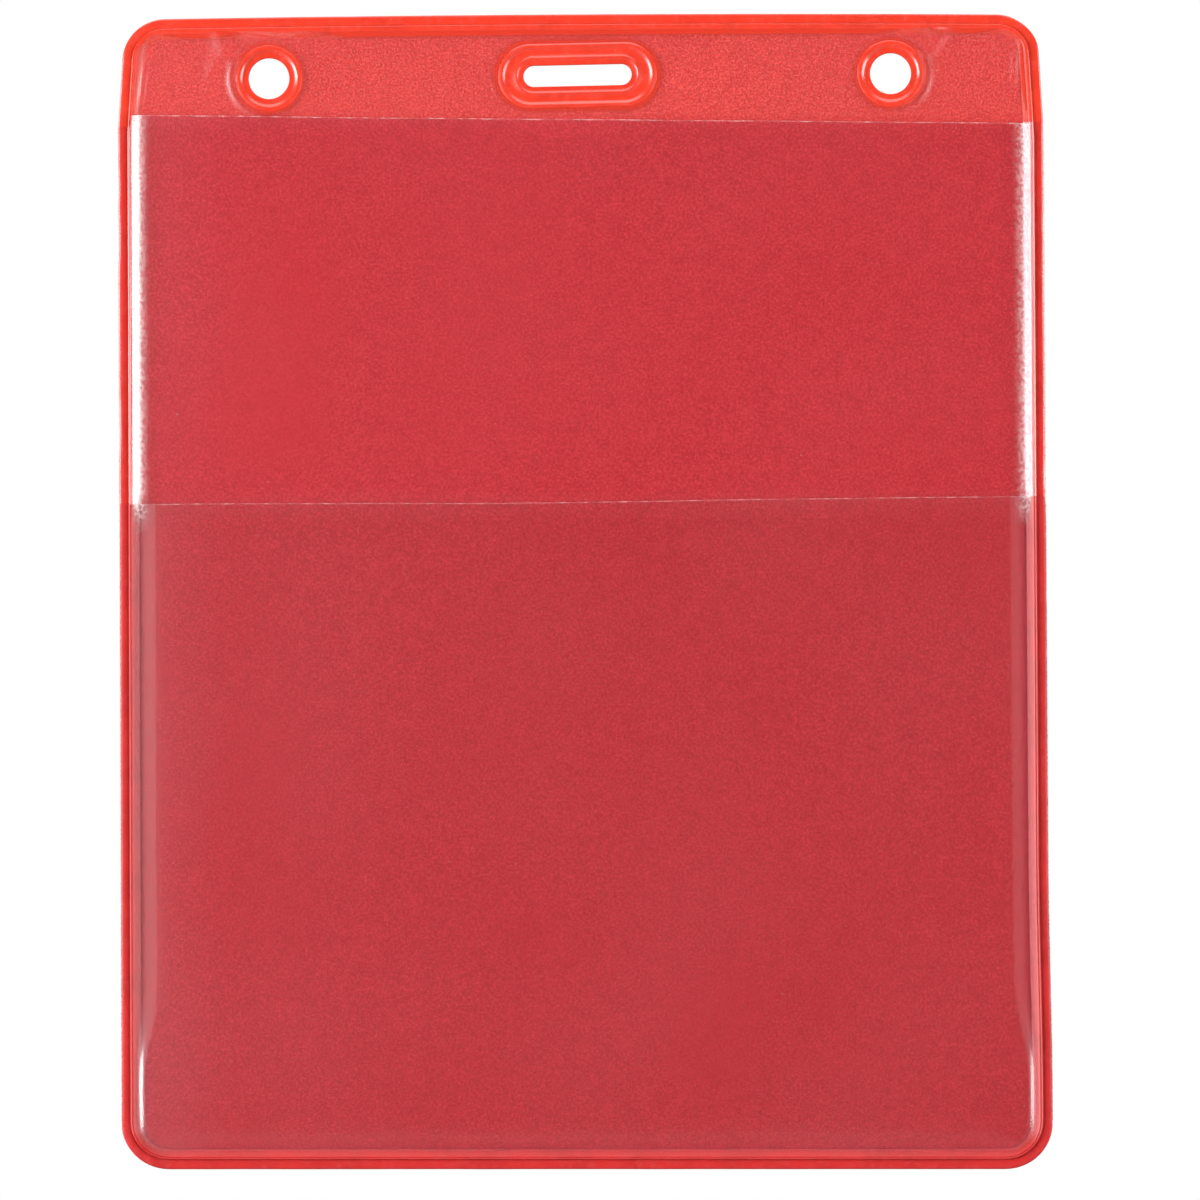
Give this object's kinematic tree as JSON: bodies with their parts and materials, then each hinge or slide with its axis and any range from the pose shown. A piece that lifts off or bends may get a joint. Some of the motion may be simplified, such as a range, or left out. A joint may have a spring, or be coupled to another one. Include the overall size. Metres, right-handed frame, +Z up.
{
  "type": "badge holder",
  "caption": "Upright vinyl badge holder with a coloured back, clear stepped pockets open at the top, a strap slot and round chain holes.",
  "frame": {"origin": "centre of the strap slot, in the plane of the flat back", "axes": "+Z up as worn, +X to the right as seen from the front, pockets facing -Y"},
  "size_m": [0.136, 0.0021, 0.169],
  "materials": {
    "red_vinyl": "fine matte grain",
    "clear_vinyl": "clear, slightly hazy",
    "fused_vinyl": "smooth and glossy, as pressed"
  },
  "bodies": {
    "root": {"back_sheet": "red_vinyl", "lining_film": "clear_vinyl", "rear_pocket_film": "clear_vinyl", "front_pocket_film": "clear_vinyl", "header_weld": "fused_vinyl", "left_side_weld": "fused_vinyl", "right_side_weld": "fused_vinyl", "lower_weld": "fused_vinyl", "left_hole_ring": "fused_vinyl", "right_hole_ring": "fused_vinyl", "slot_ring": "fused_vinyl"}
  },
  "joints": []
}
